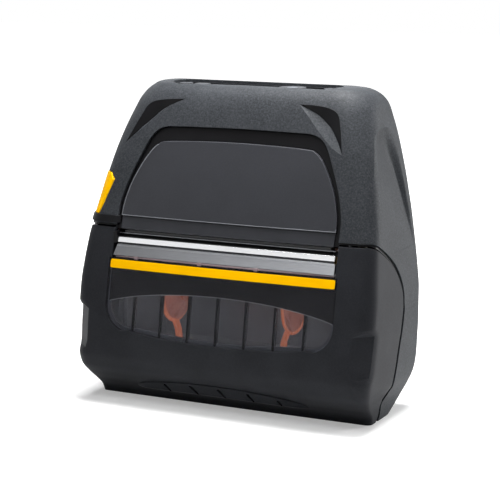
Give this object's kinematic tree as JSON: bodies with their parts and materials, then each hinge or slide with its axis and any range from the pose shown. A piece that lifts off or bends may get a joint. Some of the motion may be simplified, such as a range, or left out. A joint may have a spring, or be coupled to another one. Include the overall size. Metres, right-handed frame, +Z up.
{
  "type": "portable label printer",
  "caption": "Handheld thermal label printer: rounded case, windowed media cover hinged at the bottom, platen drive, sliding roll supports, key panel, latch and removable battery.",
  "frame": {"origin": "centre of the bounding box's bottom, on the face that the printer stands on", "axes": "+X to the right seen from the front, +Y towards the back, +Z up; the label exit and window face -Y"},
  "size_m": [0.158, 0.0682, 0.1555],
  "materials": {
    "case_plastic": "fine textured",
    "cover_plastic": "fine textured",
    "back_plastic": "fine textured",
    "black_plastic": "satin",
    "panel_plastic": "satin",
    "guard_plastic": "satin",
    "key_plastic": "satin",
    "clear_display": "polished",
    "smoked_window": "polished, smoked",
    "yellow_plastic": "satin",
    "orange_plastic": "translucent",
    "gear_plastic": "natural",
    "steel": "brushed",
    "polished_steel": "polished",
    "heat_sink": "extruded",
    "ceramic": "ceramic, glazed",
    "brass": "turned",
    "gold_contacts": "plated",
    "circuit_board": "solder mask",
    "chip_plastic": "moulded",
    "motor_steel": "zinc plated",
    "platen_rubber": "ground",
    "port_rubber": "matte",
    "battery_plastic": "fine textured"
  },
  "bodies": {
    "case": {"main_housing": "case_plastic", "back_cover": "back_plastic", "front_bezel": "black_plastic", "front_panel": "panel_plastic", "exit_guard": "guard_plastic", "top_panel": "black_plastic", "display_lens": "clear_display", "display_module": "steel", "key_board": "circuit_board", "chassis": "steel", "head_beam": "steel", "rack_tray": "guard_plastic", "printhead": "ceramic", "head_heatsink": "heat_sink", "head_bracket": "steel", "head_springs": "polished_steel", "step_motor": "motor_steel", "idler_pin": "steel", "main_board": "circuit_board", "board_parts": "chip_plastic", "io_board": "circuit_board", "io_connectors": "steel", "battery_tray": "guard_plastic", "battery_contacts": "gold_contacts", "dock_block": "black_plastic", "dock_contacts": "gold_contacts", "latch_spring": "polished_steel", "hinge_pin": "steel", "hinge_spring": "steel", "media_sensor": "chip_plastic", "case_screws": "steel", "clip_inserts": "brass"},
    "cover": {"media_cover": "cover_plastic", "cover_liner": "guard_plastic", "window_lens": "smoked_window", "window_band": "black_plastic", "yellow_stripe": "yellow_plastic", "peel_plate": "steel", "tear_bar": "polished_steel", "platen_bracket": "steel", "platen_bushes": "brass"},
    "platen": {"platen_shaft": "steel", "platen_rubber": "platen_rubber", "platen_gear": "gear_plastic"},
    "idler": {"idler_gear": "gear_plastic"},
    "motor_rotor": {"motor_pinion": "brass"},
    "support_right": {"support_right": "orange_plastic"},
    "support_left": {"support_left": "orange_plastic"},
    "support_drive": {"support_pinion": "gear_plastic"},
    "latch_button": {"latch_button": "yellow_plastic"},
    "latch_hooks": {"latch_bar": "steel"},
    "battery": {"battery_pack": "battery_plastic"},
    "battery_catch": {"battery_latch": "yellow_plastic"},
    "port_cover": {"port_cover": "port_rubber"},
    "power_key": {"power_key": "key_plastic"},
    "menu_key": {"menu_key": "key_plastic"},
    "nav_ring": {"nav_ring": "key_plastic"},
    "select_key": {"select_key": "key_plastic"},
    "feed_key": {"feed_key": "key_plastic"}
  },
  "joints": [
    {"name": "cover_swing", "type": "hinge", "parent": "case", "child": "cover", "pos_m": [0, -0.011, 0.0045], "axis": [1, 0, 0], "range_deg": [0, 85]},
    {"name": "platen_spin", "type": "hinge", "parent": "cover", "child": "platen", "pos_m": [0, -0.01545, 0.0775], "axis": [1, 0, 0], "continuous": true},
    {"name": "idler_spin", "type": "hinge", "parent": "case", "child": "idler", "pos_m": [0, -0.0001, 0.07966], "axis": [1, 0, 0], "continuous": true},
    {"name": "motor_spin", "type": "hinge", "parent": "case", "child": "motor_rotor", "pos_m": [0, 0.00486, 0.09328], "axis": [1, 0, 0], "continuous": true},
    {"name": "support_right_slide", "type": "slide", "parent": "case", "child": "support_right", "axis": [1, 0, 0], "range_m": [0, 0.027], "stiffness_N_per_m": 60, "springref_m": -0.02},
    {"name": "support_left_slide", "type": "slide", "parent": "case", "child": "support_left", "axis": [1, 0, 0], "range_m": [-0.027, 0]},
    {"name": "support_pinion_spin", "type": "hinge", "parent": "case", "child": "support_drive", "pos_m": [0, -0.01, 0.01235], "axis": [0, 0, 1], "range_deg": [-242, 1]},
    {"name": "latch_press", "type": "slide", "parent": "case", "child": "latch_button", "axis": [0.8, 0.6, 0], "range_m": [0, 0.0025], "stiffness_N_per_m": 600, "springref_m": -0.002, "deforming": ["latch_spring"]},
    {"name": "hook_lift", "type": "hinge", "parent": "case", "child": "latch_hooks", "pos_m": [0, -0.0083, 0.09185], "axis": [1, 0, 0], "range_deg": [-8.2, 0.2]},
    {"name": "battery_pull", "type": "slide", "parent": "case", "child": "battery", "axis": [0, 1, 0], "range_m": [0, 0.03]},
    {"name": "battery_catch_slide", "type": "slide", "parent": "case", "child": "battery_catch", "axis": [0, 0, 1], "range_m": [0, 0.0015], "stiffness_N_per_m": 500, "springref_m": -0.002},
    {"name": "port_cover_swing", "type": "hinge", "parent": "case", "child": "port_cover", "pos_m": [0.06455, 0.0333, 0.05], "axis": [0, 0, 1], "range_deg": [0, 95]},
    {"name": "power_key_press", "type": "slide", "parent": "case", "child": "power_key", "axis": [0, 0, -1], "range_m": [0, 0.0008], "stiffness_N_per_m": 400, "springref_m": -0.001},
    {"name": "menu_key_press", "type": "slide", "parent": "case", "child": "menu_key", "axis": [0, 0, -1], "range_m": [0, 0.0008], "stiffness_N_per_m": 400, "springref_m": -0.001},
    {"name": "nav_ring_press", "type": "slide", "parent": "case", "child": "nav_ring", "axis": [0, 0, -1], "range_m": [0, 0.0008], "stiffness_N_per_m": 400, "springref_m": -0.001},
    {"name": "select_key_press", "type": "slide", "parent": "case", "child": "select_key", "axis": [0, 0, -1], "range_m": [0, 0.0008], "stiffness_N_per_m": 400, "springref_m": -0.001},
    {"name": "feed_key_press", "type": "slide", "parent": "case", "child": "feed_key", "axis": [0, 0, -1], "range_m": [0, 0.0008], "stiffness_N_per_m": 400, "springref_m": -0.001}
  ],
  "couplings": [
    {"joint": "idler_spin", "follows": "platen_spin", "ratio": -0.40909},
    {"joint": "motor_spin", "follows": "platen_spin", "ratio": 1.2857},
    {"joint": "support_left_slide", "follows": "support_right_slide", "ratio": -1},
    {"joint": "support_pinion_spin", "follows": "support_right_slide", "rad_per_m": -156.25},
    {"joint": "hook_lift", "follows": "latch_press", "rad_per_m": -55.851}
  ]
}
